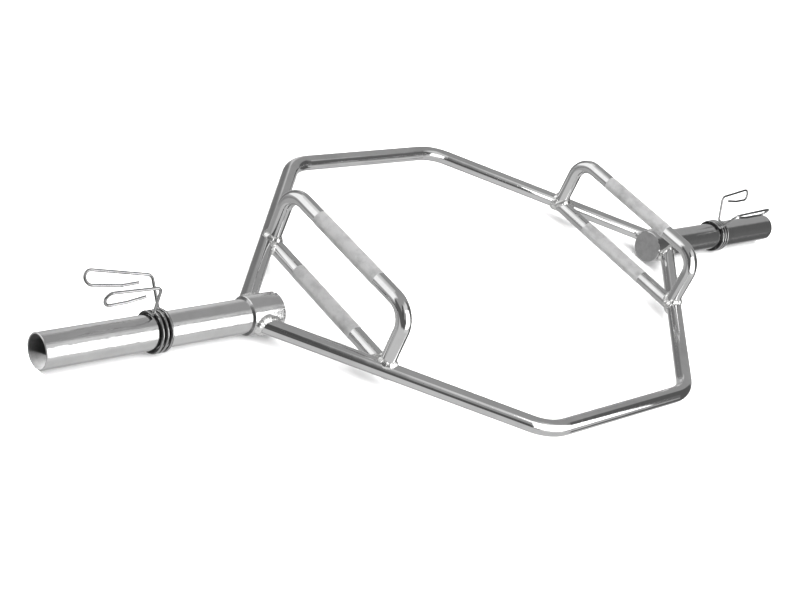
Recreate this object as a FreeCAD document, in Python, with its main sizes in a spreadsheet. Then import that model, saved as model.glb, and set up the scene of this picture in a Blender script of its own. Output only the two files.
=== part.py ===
"""Hex trap bar: a six-sided bent steel frame with two plate sleeves, two grip heights and spring collars.

Millimetres. X runs along the sleeves, -Y is the front, +Z is up. The origin is on the floor, under the
middle of the bar, which stands on the coils of its two collars.
"""
import FreeCAD, Part
import math
import os

import Sketcher
from FreeCAD import Placement, Rotation, Vector

# Driving sizes: alias, value, what it measures.
SIZES = [
    ("hub_inner_station", 440.5, "middle of the bar to the inner face of a hub plug"),
    ("hub_plug_thickness", 5.0, "disc that closes the inner end of a hub"),
    ("hub_length", 50.0, "hub tube, plug to shoulder"),
    ("hub_diameter", 57.5, "outside of the hub tube"),
    ("hub_chamfer", 1.0, "rim chamfer of hubs and hub plugs"),
    ("sleeve_load_length", 326.5, "shoulder to the open end of the sleeve, where plates go"),
    ("sleeve_diameter", 50.0, "outside of the loading sleeve"),
    ("sleeve_wall", 2.5, "wall of the sleeve tube"),
    ("sleeve_spigot_step", 0.5, "how far the seat in the hub is turned down, on the radius"),
    ("sleeve_rim", 0.6, "chamfers of the sleeve's open end, inside and outside"),
    ("plug_spigot_length", 12.0, "stub of a hub plug inside the sleeve bore"),
    ("bar_diameter", 25.4, "round steel bar of the frame"),
    ("apex_station", 498.0, "where the bar centre lines meet the sleeve axis"),
    ("corner_station", 165.0, "middle to a frame corner, along the sleeves"),
    ("corner_depth", 338.5, "sleeve axis to the front and rear sides"),
    ("frame_bend", 75.0, "centre line radius of the frame corners"),
    ("handle_station", 341.5, "middle to the plane of each pair of handles"),
    ("low_handle_diameter", 24.5, "straight grip in the frame's plane"),
    ("high_handle_diameter", 24.0, "raised grip"),
    ("high_handle_rise", 101.0, "low grip centre to raised grip centre"),
    ("leg_setback", 9.6, "end of the low handle's centre line to the centre of a raised grip's leg"),
    ("high_handle_bend", 35.0, "centre line radius of the raised grip's corners"),
    ("weld_size", 3.6, "radius of a weld bead"),
    ("wire_diameter", 4.5, "spring collar wire"),
    ("coil_clearance", 0.9, "sleeve surface to the inside of the coil"),
    ("coil_pitch", 7.5, "advance of the coil in one turn"),
    ("coil_whole_turns", 3.0, "full turns of the coil"),
    ("arm_spread", 45.0, "degrees between the two arms of a collar"),
    ("root_bend", 6.0, "bend from the coil into an arm"),
    ("arm_rise", 76.0, "sleeve axis to the bend of an arm"),
    ("arm_bend", 8.0, "bend from the riser into the grip loop"),
    ("inner_loop_reach", 102.0, "riser of the inner arm to the far end of its grip loop"),
    ("outer_loop_reach", 84.0, "riser of the outer arm to the far end of its grip loop"),
    ("loop_width", 21.0, "grip loop, wire centre to wire centre"),
    ("loop_bend", 10.0, "bend at the far end of the grip loop"),
    ("loop_return", 48.0, "riser to the curl of the returning wire"),
    ("loop_draw_in", 3.0, "how much the loop narrows towards the curl"),
    ("tip_station", 21.0, "riser to the free end of the wire"),
    ("tip_lift", 6.0, "free end above the curl"),
    ("curl_bend", 30.0, "bend of the curl"),
    ("left_inner_flare", 11.0, "degrees that the left inner arm's loop leans away from the sleeve"),
    ("left_outer_flare", 2.5, "degrees that the left outer arm's loop leans away from the sleeve"),
    ("right_inner_flare", 5.0, "degrees that the right inner arm's loop leans away from the sleeve"),
    ("right_outer_flare", 6.0, "degrees that the right outer arm's loop leans away from the sleeve"),
    ("left_collar_station", 633.0, "middle to the first wire of the left coil"),
    ("right_collar_station", 640.0, "middle to the first wire of the right coil"),
    ("left_collar_roll", -46.0, "degrees, inner arm from upright, towards the outer arm"),
    ("right_collar_roll", -23.0, "degrees, inner arm from upright, towards the outer arm"),
]
BEAD_POINTS = 10
COIL_STEP_LIMIT = 90.0

doc = FreeCAD.newDocument("hex_trap_bar")
sheet = doc.addObject("Spreadsheet::Sheet", "sizes")
for row, (alias, value, meaning) in enumerate(SIZES, start=1):
    sheet.set(f"A{row}", meaning)
    sheet.set(f"B{row}", str(value))
    sheet.setAlias(f"B{row}", alias)
doc.recompute()


def named(text):
    """Expression text in which every size name points at the sheet."""
    words = {alias for alias, _, _ in SIZES}
    out = ""
    word = ""
    for letter in text + " ":
        if letter.isalnum() or letter == "_":
            word += letter
            continue
        out += f"sizes.{word}" if word in words else word
        out += letter
        word = ""
    return out.strip()


def size(text):
    """Number that an expression of size names has now."""
    value = sheet.evalExpression(named(text))
    return float(getattr(value, "Value", value))


# Lengths that several pieces share, as expressions of the driving sizes.
AXIS_HEIGHT = "(sleeve_diameter / 2 + coil_clearance + wire_diameter)"
HUB_START = "(hub_inner_station + hub_plug_thickness)"
SHOULDER = f"({HUB_START} + hub_length)"
SLEEVE_END = f"({SHOULDER} + sleeve_load_length)"
SLEEVE_RADIUS = "(sleeve_diameter / 2)"
SPIGOT_RADIUS = f"({SLEEVE_RADIUS} - sleeve_spigot_step)"
BORE_RADIUS = f"({SLEEVE_RADIUS} - sleeve_wall)"
COIL_RADIUS = f"({SLEEVE_RADIUS} + coil_clearance + wire_diameter / 2)"
RISER_START = f"sqrt(({COIL_RADIUS} + root_bend)^2 - root_bend^2)"
ARM_START = f"({RISER_START} + wire_diameter)"
COIL_LENGTH = "(coil_pitch * (coil_whole_turns + arm_spread / 360))"
SIDES = {"left": -1, "right": 1}


# Sketches and solids shared by the pieces

def bind(thing, **expressions):
    """Bind properties of an object to expressions of the sheet."""
    for path, text in expressions.items():
        thing.setExpression(path.replace("__", "."), named(text))


def new_body(name):
    """Empty body."""
    return doc.addObject("PartDesign::Body", name)


def origin_plane(body, role):
    """One of the body's own origin planes."""
    return next(item for item in body.Origin.OriginFeatures if item.Role == role)


def new_sketch(body, role, name, offset=None):
    """Sketch on an origin plane, lifted off it by an expression if one is given."""
    sketch = body.newObject("Sketcher::SketchObject", name)
    sketch.AttachmentSupport = [(origin_plane(body, role), "")]
    sketch.MapMode = "FlatFace"
    if offset:
        bind(sketch, AttachmentOffset__Base__z=offset)
    return sketch


def dimension(sketch, label, constraint, text):
    """Add a constraint and bind it to an expression."""
    index = sketch.addConstraint(constraint)
    sketch.renameConstraint(index, label)
    sketch.setExpression(f"Constraints.{label}", named(text))


def place_point(sketch, label, geometry, end, across, up):
    """Pin a point of a sketch to two expressions."""
    dimension(sketch, f"{label}_across",
              Sketcher.Constraint("DistanceX", -1, 1, geometry, end, size(across)), across)
    dimension(sketch, f"{label}_up",
              Sketcher.Constraint("DistanceY", -1, 1, geometry, end, size(up)), up)


def outline_sketch(body, role, name, corners):
    """Closed outline of straight lines through corners given as pairs of expressions."""
    sketch = new_sketch(body, role, name)
    points = [Vector(size(across), size(up), 0) for across, up in corners]
    count = len(points)
    for index in range(count):
        sketch.addGeometry(Part.LineSegment(points[index], points[(index + 1) % count]), False)
    for index, (across, up) in enumerate(corners):
        sketch.addConstraint(Sketcher.Constraint("Coincident", index - 1 if index else count - 1, 2, index, 1))
        place_point(sketch, f"corner{index}", index, 1, across, up)
    return sketch


def rounded_path(body, role, name, corners, bends):
    """Open path of straight runs joined by tangent arcs, its sharp corners pinned to expressions."""
    sketch = new_sketch(body, role, name)
    points = [Vector(size(across), size(up), 0) for across, up in corners]
    start = points[0]
    arcs = []
    runs = []
    for before, corner, after, bend in zip(points, points[1:], points[2:], bends):
        toward = (before - corner).normalize()
        onward = (after - corner).normalize()
        half = toward.getAngle(onward) / 2
        first = corner + toward * (size(bend) / math.tan(half))
        last = corner + onward * (size(bend) / math.tan(half))
        middle_ray = (toward + onward).normalize()
        middle = corner + middle_ray * (size(bend) / math.sin(half) - size(bend))
        runs.append(sketch.addGeometry(Part.LineSegment(start, first), False))
        arcs.append(sketch.addGeometry(Part.Arc(first, middle, last), False))
        start = last
    runs.append(sketch.addGeometry(Part.LineSegment(start, points[-1]), False))
    place_point(sketch, "begin", runs[0], 1, *corners[0])
    place_point(sketch, "finish", runs[-1], 2, *corners[-1])
    for index, (arc, bend) in enumerate(zip(arcs, bends)):
        arc_start = sketch.getPoint(arc, 1)
        entry = 1 if arc_start.distanceToPoint(sketch.getPoint(runs[index], 2)) < 1e-6 else 2
        sketch.addConstraint(Sketcher.Constraint("Tangent", runs[index], 2, arc, entry))
        sketch.addConstraint(Sketcher.Constraint("Tangent", arc, 3 - entry, runs[index + 1], 1))
        dimension(sketch, f"bend{index}", Sketcher.Constraint("Radius", arc, size(bend)), bend)
        corner = sketch.addGeometry(Part.Point(points[index + 1]), True)
        sketch.addConstraint(Sketcher.Constraint("PointOnObject", corner, 1, runs[index]))
        sketch.addConstraint(Sketcher.Constraint("PointOnObject", corner, 1, runs[index + 1]))
        place_point(sketch, f"sharp{index}", corner, 1, *corners[index + 1])
    return sketch, len(runs) + len(arcs)


def circle_sketch(body, role, name, across, up, diameter, offset=None):
    """Circle pinned to two expressions."""
    sketch = new_sketch(body, role, name, offset)
    centre = Vector(size(across), size(up), 0)
    ring = sketch.addGeometry(Part.Circle(centre, Vector(0, 0, 1), size(diameter) / 2), False)
    place_point(sketch, "centre", ring, 3, across, up)
    dimension(sketch, "across_ring", Sketcher.Constraint("Diameter", ring, size(diameter)), diameter)
    return sketch


def pipe(body, section, path, edges):
    """Round section swept along a path."""
    doc.recompute()
    swept = body.newObject("PartDesign::AdditivePipe", "swept")
    swept.Profile = section
    swept.Spine = (path, [f"Edge{index}" for index in range(1, edges + 1)])
    doc.recompute()
    return swept


def turned(name, corners):
    """Body turned about the sleeve axis from an outline of stations and radii."""
    body = new_body(name)
    outline = outline_sketch(body, "XZ_Plane", f"{name}_outline", corners)
    doc.recompute()
    spin = body.newObject("PartDesign::Revolution", "turned")
    spin.Profile = outline
    spin.ReferenceAxis = (outline, ["H_Axis"])
    spin.Angle = 360
    return body


def face_outboard(thing, side):
    """Stand a piece on the sleeve axis with its own X pointing away from the middle of the bar."""
    thing.Placement = Placement(Vector(), Rotation(Vector(0, 0, 1), 180 if side == "left" else 0))
    bind(thing, Placement__Base__z=AXIS_HEIGHT)


def cut(name, base, *tools):
    """Base less each of the tools in turn."""
    for index, tool in enumerate(tools):
        result = doc.addObject("Part::Cut", f"{name}_fit{index}")
        result.Base = base
        result.Tool = tool
        base = result
    return base


nodes = {}


def keep(label, thing):
    """Name a finished sub-part."""
    thing.Label = label
    nodes[label] = thing


# Biarcs: tangent arcs through points with given directions

def arc_between(start, knee, end):
    """Arc from start to end, tangent to the lines that meet at the knee."""
    middle = (start + end) * 0.5
    half_chord = (end - start).Length / 2
    turn = (knee - start).getAngle(end - start)
    if turn < 1e-6:
        return Part.LineSegment(start, end).toShape()
    crown = middle + (knee - middle).normalize() * (half_chord * math.tan(turn / 2))
    return Part.Arc(start, crown, end).toShape()


def biarc(start, heading, end, final):
    """Two tangent arcs from start, along heading, to end, along final."""
    chord = end - start
    both = heading + final
    bend = 2 * (1 - heading.dot(final))
    along = chord.dot(both)
    if bend < 1e-9:
        reach = chord.dot(chord) / (2 * along)
    else:
        reach = (math.sqrt(along * along + bend * chord.dot(chord)) - along) / bend
    first_knee = start + heading * reach
    last_knee = end - final * reach
    join = (first_knee + last_knee) * 0.5
    return [arc_between(start, first_knee, join), arc_between(join, last_knee, end)]


def tube_along(edges, start, heading, radius):
    """Solid round tube along tangent edges."""
    spine = Part.Wire(edges)
    section = Part.Wire([Part.Circle(start, heading, radius).toShape()])
    return spine.makePipeShell([section], True, False)


# The frame

def frame_bar(side_name, front_or_rear):
    """Bent bar of one long side: half of it swept from the middle of the side, then mirrored."""
    body = new_body(f"{side_name}_bar_bent")
    depth = f"{front_or_rear} * corner_depth"
    corners = [("0", depth), ("corner_station", depth), ("apex_station", "0")]
    path, edges = rounded_path(body, "XY_Plane", f"{side_name}_bar_path", corners, ["frame_bend"])
    section = circle_sketch(body, "YZ_Plane", f"{side_name}_bar_section", depth, "0", "bar_diameter")
    swept = pipe(body, section, path, edges)
    mirrored = body.newObject("PartDesign::Mirrored", "both_halves")
    mirrored.Originals = [swept]
    mirrored.MirrorPlane = (origin_plane(body, "YZ_Plane"), [""])
    body.Tip = mirrored
    bind(body, Placement__Base__z=AXIS_HEIGHT)
    return body


def hub_envelope(side):
    """Cylinder of the hub's outside, long enough to cope the frame bars to it."""
    rod = doc.addObject("Part::Cylinder", f"{side}_hub_envelope")
    bind(rod, Radius="hub_diameter / 2", Height="4 * bar_diameter + 2 * hub_diameter")
    start = f"{SIDES[side]} * apex_station - hub_diameter - 2 * bar_diameter"
    rod.Placement = Placement(Vector(), Rotation(Vector(0, 1, 0), 90))
    bind(rod, Placement__Base__x=start, Placement__Base__z=AXIS_HEIGHT)
    return rod


def hub(side):
    """Short heavy tube that the frame bars and the sleeve are welded to."""
    outer = "hub_diameter / 2"
    body = turned(f"{side}_hub_turned", [
        (HUB_START, SPIGOT_RADIUS),
        (SHOULDER, SPIGOT_RADIUS),
        (SHOULDER, f"{outer} - hub_chamfer"),
        (f"{SHOULDER} - hub_chamfer", outer),
        (HUB_START, outer),
    ])
    face_outboard(body, side)
    return body


def hub_plug(side):
    """Disc that closes the hub, with a stub in the sleeve's bore."""
    outer = "hub_diameter / 2"
    body = turned(f"{side}_hub_plug_turned", [
        ("hub_inner_station", "0"),
        (f"{HUB_START} + plug_spigot_length", "0"),
        (f"{HUB_START} + plug_spigot_length", BORE_RADIUS),
        (HUB_START, BORE_RADIUS),
        (HUB_START, outer),
        ("hub_inner_station + hub_chamfer", outer),
        ("hub_inner_station", f"{outer} - hub_chamfer"),
    ])
    face_outboard(body, side)
    return body


def sleeve(side):
    """Loading sleeve: a tube with an open end, whose turned-down end is pressed into the hub."""
    body = turned(f"{side}_sleeve_turned", [
        (HUB_START, BORE_RADIUS),
        (f"{SLEEVE_END} - sleeve_rim", BORE_RADIUS),
        (SLEEVE_END, f"{BORE_RADIUS} + sleeve_rim"),
        (SLEEVE_END, f"{SLEEVE_RADIUS} - sleeve_rim"),
        (f"{SLEEVE_END} - sleeve_rim", SLEEVE_RADIUS),
        (SHOULDER, SLEEVE_RADIUS),
        (SHOULDER, SPIGOT_RADIUS),
        (HUB_START, SPIGOT_RADIUS),
    ])
    face_outboard(body, side)
    return body


# The handles

LOW_HALF_LENGTH = "(corner_depth * (apex_station - handle_station) / (apex_station - corner_station))"
LEG_STATION = f"({LOW_HALF_LENGTH} - leg_setback)"


def low_handle(side):
    """Straight grip between the two frame bars."""
    rod = doc.addObject("Part::Cylinder", f"{side}_low_rod")
    rod.Placement = Placement(Vector(), Rotation(Vector(1, 0, 0), -90))
    bind(rod, Radius="low_handle_diameter / 2", Height=f"2 * {LOW_HALF_LENGTH}",
         Placement__Base__x=f"{SIDES[side]} * handle_station",
         Placement__Base__y=f"-{LOW_HALF_LENGTH}",
         Placement__Base__z=AXIS_HEIGHT)
    return rod


def high_handle(side):
    """Raised grip: a bar bent down at both ends to stand on the frame."""
    body = new_body(f"{side}_high_bent")
    corners = [
        (LEG_STATION, "0"),
        (LEG_STATION, "high_handle_rise"),
        (f"-{LEG_STATION}", "high_handle_rise"),
        (f"-{LEG_STATION}", "0"),
    ]
    bends = ["high_handle_bend", "high_handle_bend"]
    path, edges = rounded_path(body, "YZ_Plane", f"{side}_high_path", corners, bends)
    section = circle_sketch(body, "XY_Plane", f"{side}_high_section", "0", LEG_STATION, "high_handle_diameter")
    pipe(body, section, path, edges)
    bind(body, Placement__Base__x=f"{SIDES[side]} * handle_station", Placement__Base__z=AXIS_HEIGHT)
    return body


# The welds: bead tubes along the seams, cut to the pieces that they join

def bead(name, points):
    """Closed bead tube through the points of a seam."""
    count = len(points)
    headings = []
    for index in range(count):
        headings.append((points[(index + 1) % count] - points[index - 1]).normalize())
    edges = []
    for index in range(count):
        onward = (index + 1) % count
        edges += biarc(points[index], headings[index], points[onward], headings[onward])
    tube = doc.addObject("Part::Feature", name)
    tube.Shape = tube_along(edges, points[0], headings[0], size("weld_size"))
    return tube


def seam_angles():
    """Even angles round a seam."""
    return [2 * math.pi * index / BEAD_POINTS for index in range(BEAD_POINTS)]


def bar_line():
    """Straight end of the front bar, on the right: meeting point with the sleeve axis, run, inward normal."""
    run_in = size("apex_station - corner_station")
    run_out = size("corner_depth")
    length = math.hypot(run_in, run_out)
    start = Vector(size("apex_station"), 0, size(AXIS_HEIGHT))
    along = Vector(-run_in / length, -run_out / length, 0)
    inward = Vector(-run_out / length, run_in / length, 0)
    return start, along, inward


def hub_seam():
    """Points where the front bar meets the right hub."""
    start, along, inward = bar_line()
    radius = size("bar_diameter / 2")
    hub_radius = size("hub_diameter / 2")
    points = []
    for angle in seam_angles():
        offset = inward * (radius * math.cos(angle)) + Vector(0, 0, radius * math.sin(angle))
        depth = math.sqrt(hub_radius ** 2 - offset.z ** 2)
        travel = (-depth - offset.y) / along.y
        points.append(start + along * travel + offset)
    return points


def low_handle_seam():
    """Points where the right low handle meets the front bar."""
    start, _, inward = bar_line()
    radius = size("low_handle_diameter / 2")
    bar_radius = size("bar_diameter / 2")
    points = []
    for angle in seam_angles():
        across = size("handle_station") + radius * math.cos(angle)
        up = radius * math.sin(angle)
        depth = math.sqrt(max(bar_radius ** 2 - up ** 2, 0))
        out = (depth - inward.x * (across - start.x)) / inward.y
        points.append(Vector(across, out, start.z + up))
    return points


def leg_bead(name):
    """Ring of weld round the front foot of the right raised grip, on the frame bar and the low handle."""
    ring = doc.addObject("Part::Torus", name)
    bind(ring, Radius1="high_handle_diameter / 2", Radius2="weld_size",
         Placement__Base__x="handle_station",
         Placement__Base__y=f"-{LEG_STATION}",
         Placement__Base__z=f"{AXIS_HEIGHT} + bar_diameter / 2 - weld_size / 2")
    return ring


def mirrored(name, source, normal):
    """Mirror image through the middle of the bar."""
    image = doc.addObject("Part::Mirroring", name)
    image.Source = source
    image.Normal = normal
    return image


def weld_groups(kind, front_right):
    """The same weld at all four corners, one node of two solids on each side."""
    rear_right = mirrored(f"{kind}_rear", front_right, Vector(0, 1, 0))
    right = doc.addObject("Part::Compound", f"{kind}_right_pair")
    right.Links = [front_right, rear_right]
    keep(f"right_{kind}_welds", right)
    keep(f"left_{kind}_welds", mirrored(f"{kind}_left_pair", right, Vector(1, 0, 0)))


# The spring collars

def coil_path():
    """Coil between the straight ends of the two arms: edges, start point and start heading."""
    radius = size(COIL_RADIUS)
    pitch = size("coil_pitch")
    sweep = 360 * size("coil_whole_turns") + size("arm_spread")
    root = math.degrees(math.asin(size("root_bend") / (radius + size("root_bend"))))

    def at(angle, distance):
        turn = math.radians(angle)
        return Vector(pitch * angle / 360, distance * math.sin(turn), distance * math.cos(turn))

    def heading(angle):
        turn = math.radians(angle)
        advance = Vector(pitch / (2 * math.pi), radius * math.cos(turn), -radius * math.sin(turn))
        return advance.normalize()

    def outward(angle):
        turn = math.radians(angle)
        return Vector(0, math.sin(turn), math.cos(turn))

    steps = math.ceil((sweep - 2 * root) / COIL_STEP_LIMIT)
    stations = [root + (sweep - 2 * root) * index / steps for index in range(steps + 1)]
    begin = at(0, size(ARM_START))
    bend_in = at(0, size(RISER_START))
    bend_out = at(sweep, size(RISER_START))
    finish = at(sweep, size(ARM_START))
    edges = [Part.LineSegment(begin, bend_in).toShape()]
    edges += biarc(bend_in, outward(0) * -1, at(stations[0], radius), heading(stations[0]))
    for angle, onward in zip(stations, stations[1:]):
        edges += biarc(at(angle, radius), heading(angle), at(onward, radius), heading(onward))
    edges += biarc(at(stations[-1], radius), heading(stations[-1]), bend_out, outward(sweep))
    edges.append(Part.LineSegment(bend_out, finish).toShape())
    return edges, begin, outward(0) * -1


def least_self_gap(edges, wire):
    """Smallest clear distance between stretches of the wire that are not neighbours."""
    spacing = wire / 3
    points = []
    for edge in edges:
        count = max(2, int(edge.Length / spacing))
        points += edge.discretize(Number=count)[:-1]
    skip = int(3 * wire / spacing)
    nearest = min((first - second).Length
                  for index, first in enumerate(points)
                  for second in points[index + skip:])
    return nearest - wire


def seat_collar(thing, side, axial="0", turn="0"):
    """Stand a collar piece on its sleeve, its own X outboard, turned to its rest angle."""
    outboard = Rotation(Vector(0, 0, 1), 180 if side == "left" else 0)
    roll = Rotation(Vector(1, 0, 0), -size(f"{side}_collar_roll + {turn}"))
    thing.Placement = Placement(Vector(), outboard.multiply(roll))
    bind(thing, Placement__Base__x=f"{SIDES[side]} * ({side}_collar_station + {axial})",
         Placement__Base__z=AXIS_HEIGHT)


def collar_coil(side, shape):
    """Coil of one collar."""
    coil = doc.addObject("Part::Feature", f"{side}_coil_wire")
    coil.Shape = shape
    seat_collar(coil, side)
    return coil


def collar_arm(name, flare, reach):
    """Arm of a collar: a riser bent into an open grip loop, in a plane through the sleeve axis."""
    body = new_body(name)

    def loop_point(along, above):
        across = f"({along}) * cos({flare} * 1deg) - ({above}) * sin({flare} * 1deg)"
        up = f"arm_rise + ({along}) * sin({flare} * 1deg) + ({above}) * cos({flare} * 1deg)"
        return across, up

    corners = [
        ("0", ARM_START),
        ("0", "arm_rise"),
        loop_point(reach, "0"),
        loop_point(reach, "-loop_width"),
        loop_point("loop_return", "loop_draw_in - loop_width"),
        loop_point("tip_station", "loop_draw_in + tip_lift - loop_width"),
    ]
    bends = ["arm_bend", "loop_bend", "loop_bend", "curl_bend"]
    path, edges = rounded_path(body, "XZ_Plane", f"{name}_path", corners, bends)
    section = circle_sketch(body, "XY_Plane", f"{name}_section", "0", "0", "wire_diameter", ARM_START)
    pipe(body, section, path, edges)
    return body


def build_frame():
    """Frame bars, hubs, sleeves, handles and their welds."""
    bent = {"front": frame_bar("front", -1), "rear": frame_bar("rear", 1)}
    envelopes = {side: hub_envelope(side) for side in SIDES}
    for name, bar in bent.items():
        keep(f"{name}_frame_bar", cut(f"{name}_frame_bar", bar, *envelopes.values()))
    bars = [nodes["front_frame_bar"], nodes["rear_frame_bar"]]
    for side in SIDES:
        keep(f"{side}_hub", hub(side))
        keep(f"{side}_hub_plug", hub_plug(side))
        keep(f"{side}_sleeve", sleeve(side))
        low_rod = low_handle(side)
        low = cut(f"{side}_low_handle", low_rod, *bars)
        keep(f"{side}_low_handle", low)
        high_bent = high_handle(side)
        keep(f"{side}_high_handle", cut(f"{side}_high_handle", high_bent, *bars, low))
    hub_bead = bead("hub_bead", hub_seam())
    weld_groups("hub", cut("hub_weld", hub_bead, bent["front"], envelopes["right"]))
    low_bead = bead("low_handle_bead", low_handle_seam())
    weld_groups("low_handle", cut("low_handle_weld", low_bead, bent["front"], low_rod, high_bent))
    ring = leg_bead("high_handle_bead")
    fitted = cut("high_handle_weld", ring, bent["front"], low_rod, high_bent, low_bead)
    weld_groups("high_handle", fitted)


def build_collars():
    """Two equal spring collars, each a coil between two arms."""
    edges, start, heading = coil_path()
    wire = size("wire_diameter")
    shape = tube_along(edges, start, heading, wire / 2)
    length = sum(edge.Length for edge in edges)
    print(f"coil volume over section times length: {shape.Volume / (math.pi * wire ** 2 / 4 * length):.4f}")
    print(f"coil least gap to itself: {least_self_gap(edges, wire):.2f} mm")
    for side in SIDES:
        keep(f"{side}_collar_coil", collar_coil(side, shape.copy()))
        inner = collar_arm(f"{side}_inner_arm", f"{side}_inner_flare", "inner_loop_reach")
        seat_collar(inner, side)
        keep(f"{side}_collar_inner_arm", inner)
        outer = collar_arm(f"{side}_outer_arm", f"{side}_outer_flare", "outer_loop_reach")
        seat_collar(outer, side, COIL_LENGTH, "arm_spread")
        keep(f"{side}_collar_outer_arm", outer)


def check_and_write():
    """Stop on any failed object, then write one file for each sub-part."""
    doc.recompute()
    for thing in doc.Objects:
        if "Invalid" in thing.State or "Error" in thing.State:
            raise RuntimeError(f"{thing.Name} failed: {thing.State}")
    os.makedirs("parts", exist_ok=True)
    for label, thing in nodes.items():
        shape = thing.Shape
        expected = 2 if label.endswith("welds") else 1
        if shape.isNull() or not shape.isValid() or len(shape.Solids) != expected:
            raise RuntimeError(f"{label} has {len(shape.Solids)} solids, not {expected}")
        shape.exportStep(f"parts/{label}.step")
        print(f"{label}: {len(shape.Solids)} solids, {shape.Volume / 1000:.1f} cm3")


build_frame()
build_collars()
check_and_write()
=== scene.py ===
"""Looks of a hex trap bar: finishes for its solids, knurled grips, weld beads, collar coils and a stage."""
import math
import random
from typing import NamedTuple

import bmesh
import bpy
from bpy.props import FloatProperty, FloatVectorProperty, IntProperty, PointerProperty
from mathutils import Euler, Matrix, Vector


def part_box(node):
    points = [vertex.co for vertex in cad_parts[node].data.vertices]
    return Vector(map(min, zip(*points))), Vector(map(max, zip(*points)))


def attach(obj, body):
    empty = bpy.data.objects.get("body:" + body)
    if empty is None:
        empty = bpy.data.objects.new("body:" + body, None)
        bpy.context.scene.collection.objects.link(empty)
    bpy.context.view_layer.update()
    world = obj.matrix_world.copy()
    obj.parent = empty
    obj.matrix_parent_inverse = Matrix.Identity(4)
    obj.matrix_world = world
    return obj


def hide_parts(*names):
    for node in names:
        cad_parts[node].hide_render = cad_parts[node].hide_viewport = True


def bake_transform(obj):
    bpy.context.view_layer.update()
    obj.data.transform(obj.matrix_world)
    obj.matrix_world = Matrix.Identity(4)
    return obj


bl_info = {
    "name": "Hex Trap Bar Looks",
    "version": (1, 0, 0),
    "blender": (4, 5, 0),
    "location": "View3D > Sidebar > Trap Bar",
    "description": "Finishes, knurled grips, weld beads, collar coils and stage of a hex trap bar",
    "category": "Object",
}

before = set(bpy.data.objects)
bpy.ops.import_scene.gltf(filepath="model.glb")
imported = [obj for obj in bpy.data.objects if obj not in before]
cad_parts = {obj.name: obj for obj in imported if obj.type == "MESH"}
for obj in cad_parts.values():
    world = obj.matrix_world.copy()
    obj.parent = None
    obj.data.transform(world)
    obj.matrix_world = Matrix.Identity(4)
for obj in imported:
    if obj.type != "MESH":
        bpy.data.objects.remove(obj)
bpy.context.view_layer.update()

SIDES = {"left": -1, "right": 1}
SLEEVE_LOW, SLEEVE_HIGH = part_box("right_sleeve")
LOW_GRIP_LOW, LOW_GRIP_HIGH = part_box("right_low_handle")
HIGH_GRIP_LOW, HIGH_GRIP_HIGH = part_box("right_high_handle")
BAR_LOW, BAR_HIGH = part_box("front_frame_bar")
HUB_LOW, HUB_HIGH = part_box("right_hub")
AXIS_HEIGHT = (SLEEVE_LOW.z + SLEEVE_HIGH.z) / 2
SLEEVE_RADIUS = (SLEEVE_HIGH.z - SLEEVE_LOW.z) / 2
HUB_RADIUS = (HUB_HIGH.z - HUB_LOW.z) / 2
BAR_RADIUS = (BAR_HIGH.z - BAR_LOW.z) / 2
LOW_GRIP_RADIUS = (LOW_GRIP_HIGH.z - LOW_GRIP_LOW.z) / 2
HIGH_GRIP_RADIUS = (HIGH_GRIP_HIGH.x - HIGH_GRIP_LOW.x) / 2
HANDLE_STATION = (LOW_GRIP_LOW.x + LOW_GRIP_HIGH.x) / 2
HIGH_GRIP_HEIGHT = HIGH_GRIP_HIGH.z - HIGH_GRIP_RADIUS
LEG_STATION = HIGH_GRIP_HIGH.y - HIGH_GRIP_RADIUS
CORNER_DEPTH = -BAR_LOW.y - BAR_RADIUS


class GripKnurl(bpy.types.PropertyGroup):
    """Diamond knurling of the four grips."""
    length: FloatProperty(name="Length", description="Knurled length of each grip", default=0.15,
                          min=0.02, unit="LENGTH")
    pitch: FloatProperty(name="Pitch", description="Distance between two diamonds", default=0.0022,
                         min=0.001, unit="LENGTH")
    depth: FloatProperty(name="Depth", description="Height of a diamond above its grooves", default=0.0006,
                         min=0.0001, unit="LENGTH")
    colour: FloatVectorProperty(name="Colour", description="Colour of the knurled steel", subtype="COLOR",
                                size=4, min=0, max=1, default=(0.72, 0.72, 0.72, 1))


class WeldBeads(bpy.types.PropertyGroup):
    """Rippled beads at the welded joints."""
    reach: FloatProperty(name="Reach", description="Half the width of a bead", default=0.0072,
                         min=0.001, unit="LENGTH")
    spacing: FloatProperty(name="Spacing", description="Distance between two ripples", default=0.0036,
                           min=0.0005, unit="LENGTH")
    corner_station: FloatProperty(name="Corner station", description="Middle of the bar to a frame corner",
                                  default=0.165, unit="LENGTH")
    apex_station: FloatProperty(name="Apex station", description="Middle to where the frame lines meet",
                                default=0.498, unit="LENGTH")
    colour: FloatVectorProperty(name="Colour", description="Colour of the plated beads", subtype="COLOR",
                                size=4, min=0, max=1, default=(0.92, 0.92, 0.91, 1))


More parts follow.
